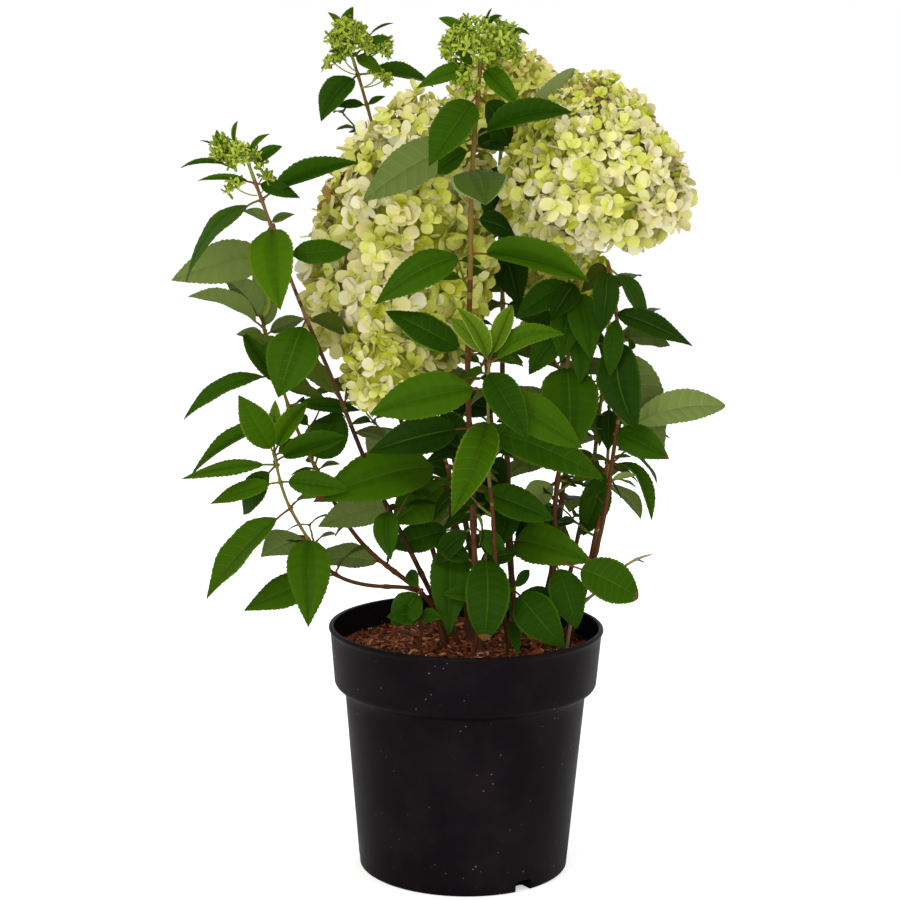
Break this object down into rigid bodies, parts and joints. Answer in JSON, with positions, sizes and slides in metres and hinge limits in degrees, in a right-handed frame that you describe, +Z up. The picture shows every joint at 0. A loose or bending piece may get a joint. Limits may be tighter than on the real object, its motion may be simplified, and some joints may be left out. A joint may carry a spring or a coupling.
{
  "type": "potted hydrangea shrub",
  "caption": "Panicle hydrangea shrub in a black nursery pot: leafy canes fan out of the compost and carry cream and lime cone-shaped flower heads and green bud clusters.",
  "frame": {"origin": "centre of the pot's flat underside", "axes": "+Z up along the pot's axis, -Y towards the front of the plant, +X to the right seen from the front"},
  "size_m": [0.4531, 0.3639, 0.7132],
  "materials": {
    "pot_plastic": "moulded black plastic, satin, with dust and faint scuffs",
    "compost": "loose red-brown bark and coir chips with peat and a little perlite",
    "young_bark": "thin red-brown bark, finely ridged, with paler pores",
    "leaf": "veined leaves, semi-gloss above, matt and paler below",
    "floret": "soft thin petals, cream to lime, with a faint blush",
    "bud": "small fresh green buds on thin stalks"
  },
  "bodies": {
    "root": {"basal_front": "leaf", "basal_left": "leaf", "basal_middle": "leaf", "basal_right": "leaf", "buds_back_tall": "bud", "buds_centre_front": "bud", "buds_left_tall": "bud", "cane_back_left": "young_bark", "cane_back_middle": "young_bark", "cane_back_right": "young_bark", "cane_back_tall": "young_bark", "cane_bloom_left": "young_bark", "cane_bloom_right": "young_bark", "cane_centre_back": "young_bark", "cane_centre_front": "young_bark", "cane_far_right": "young_bark", "cane_fresh_front": "young_bark", "cane_left_low": "young_bark", "cane_left_tall": "young_bark", "cane_left_trailing": "young_bark", "cane_right_short": "young_bark", "cane_right_tall": "young_bark", "compost": "compost", "dead_twig": "young_bark", "flower_back_right": "floret", "flower_bloom_left": "floret", "flower_bloom_right": "floret", "flower_centre_back": "floret", "flower_side": "floret", "pot": "pot_plastic", "shoot_back_left": "leaf", "shoot_back_middle": "leaf", "shoot_back_right": "leaf", "shoot_back_tall": "leaf", "shoot_bloom_left": "leaf", "shoot_bloom_right": "leaf", "shoot_centre_back": "leaf", "shoot_centre_front": "leaf", "shoot_far_right": "leaf", "shoot_fresh_front": "leaf", "shoot_left_low": "leaf", "shoot_left_tall": "leaf", "shoot_left_trailing": "leaf", "shoot_right_short": "leaf", "shoot_right_tall": "leaf"}
  },
  "joints": []
}
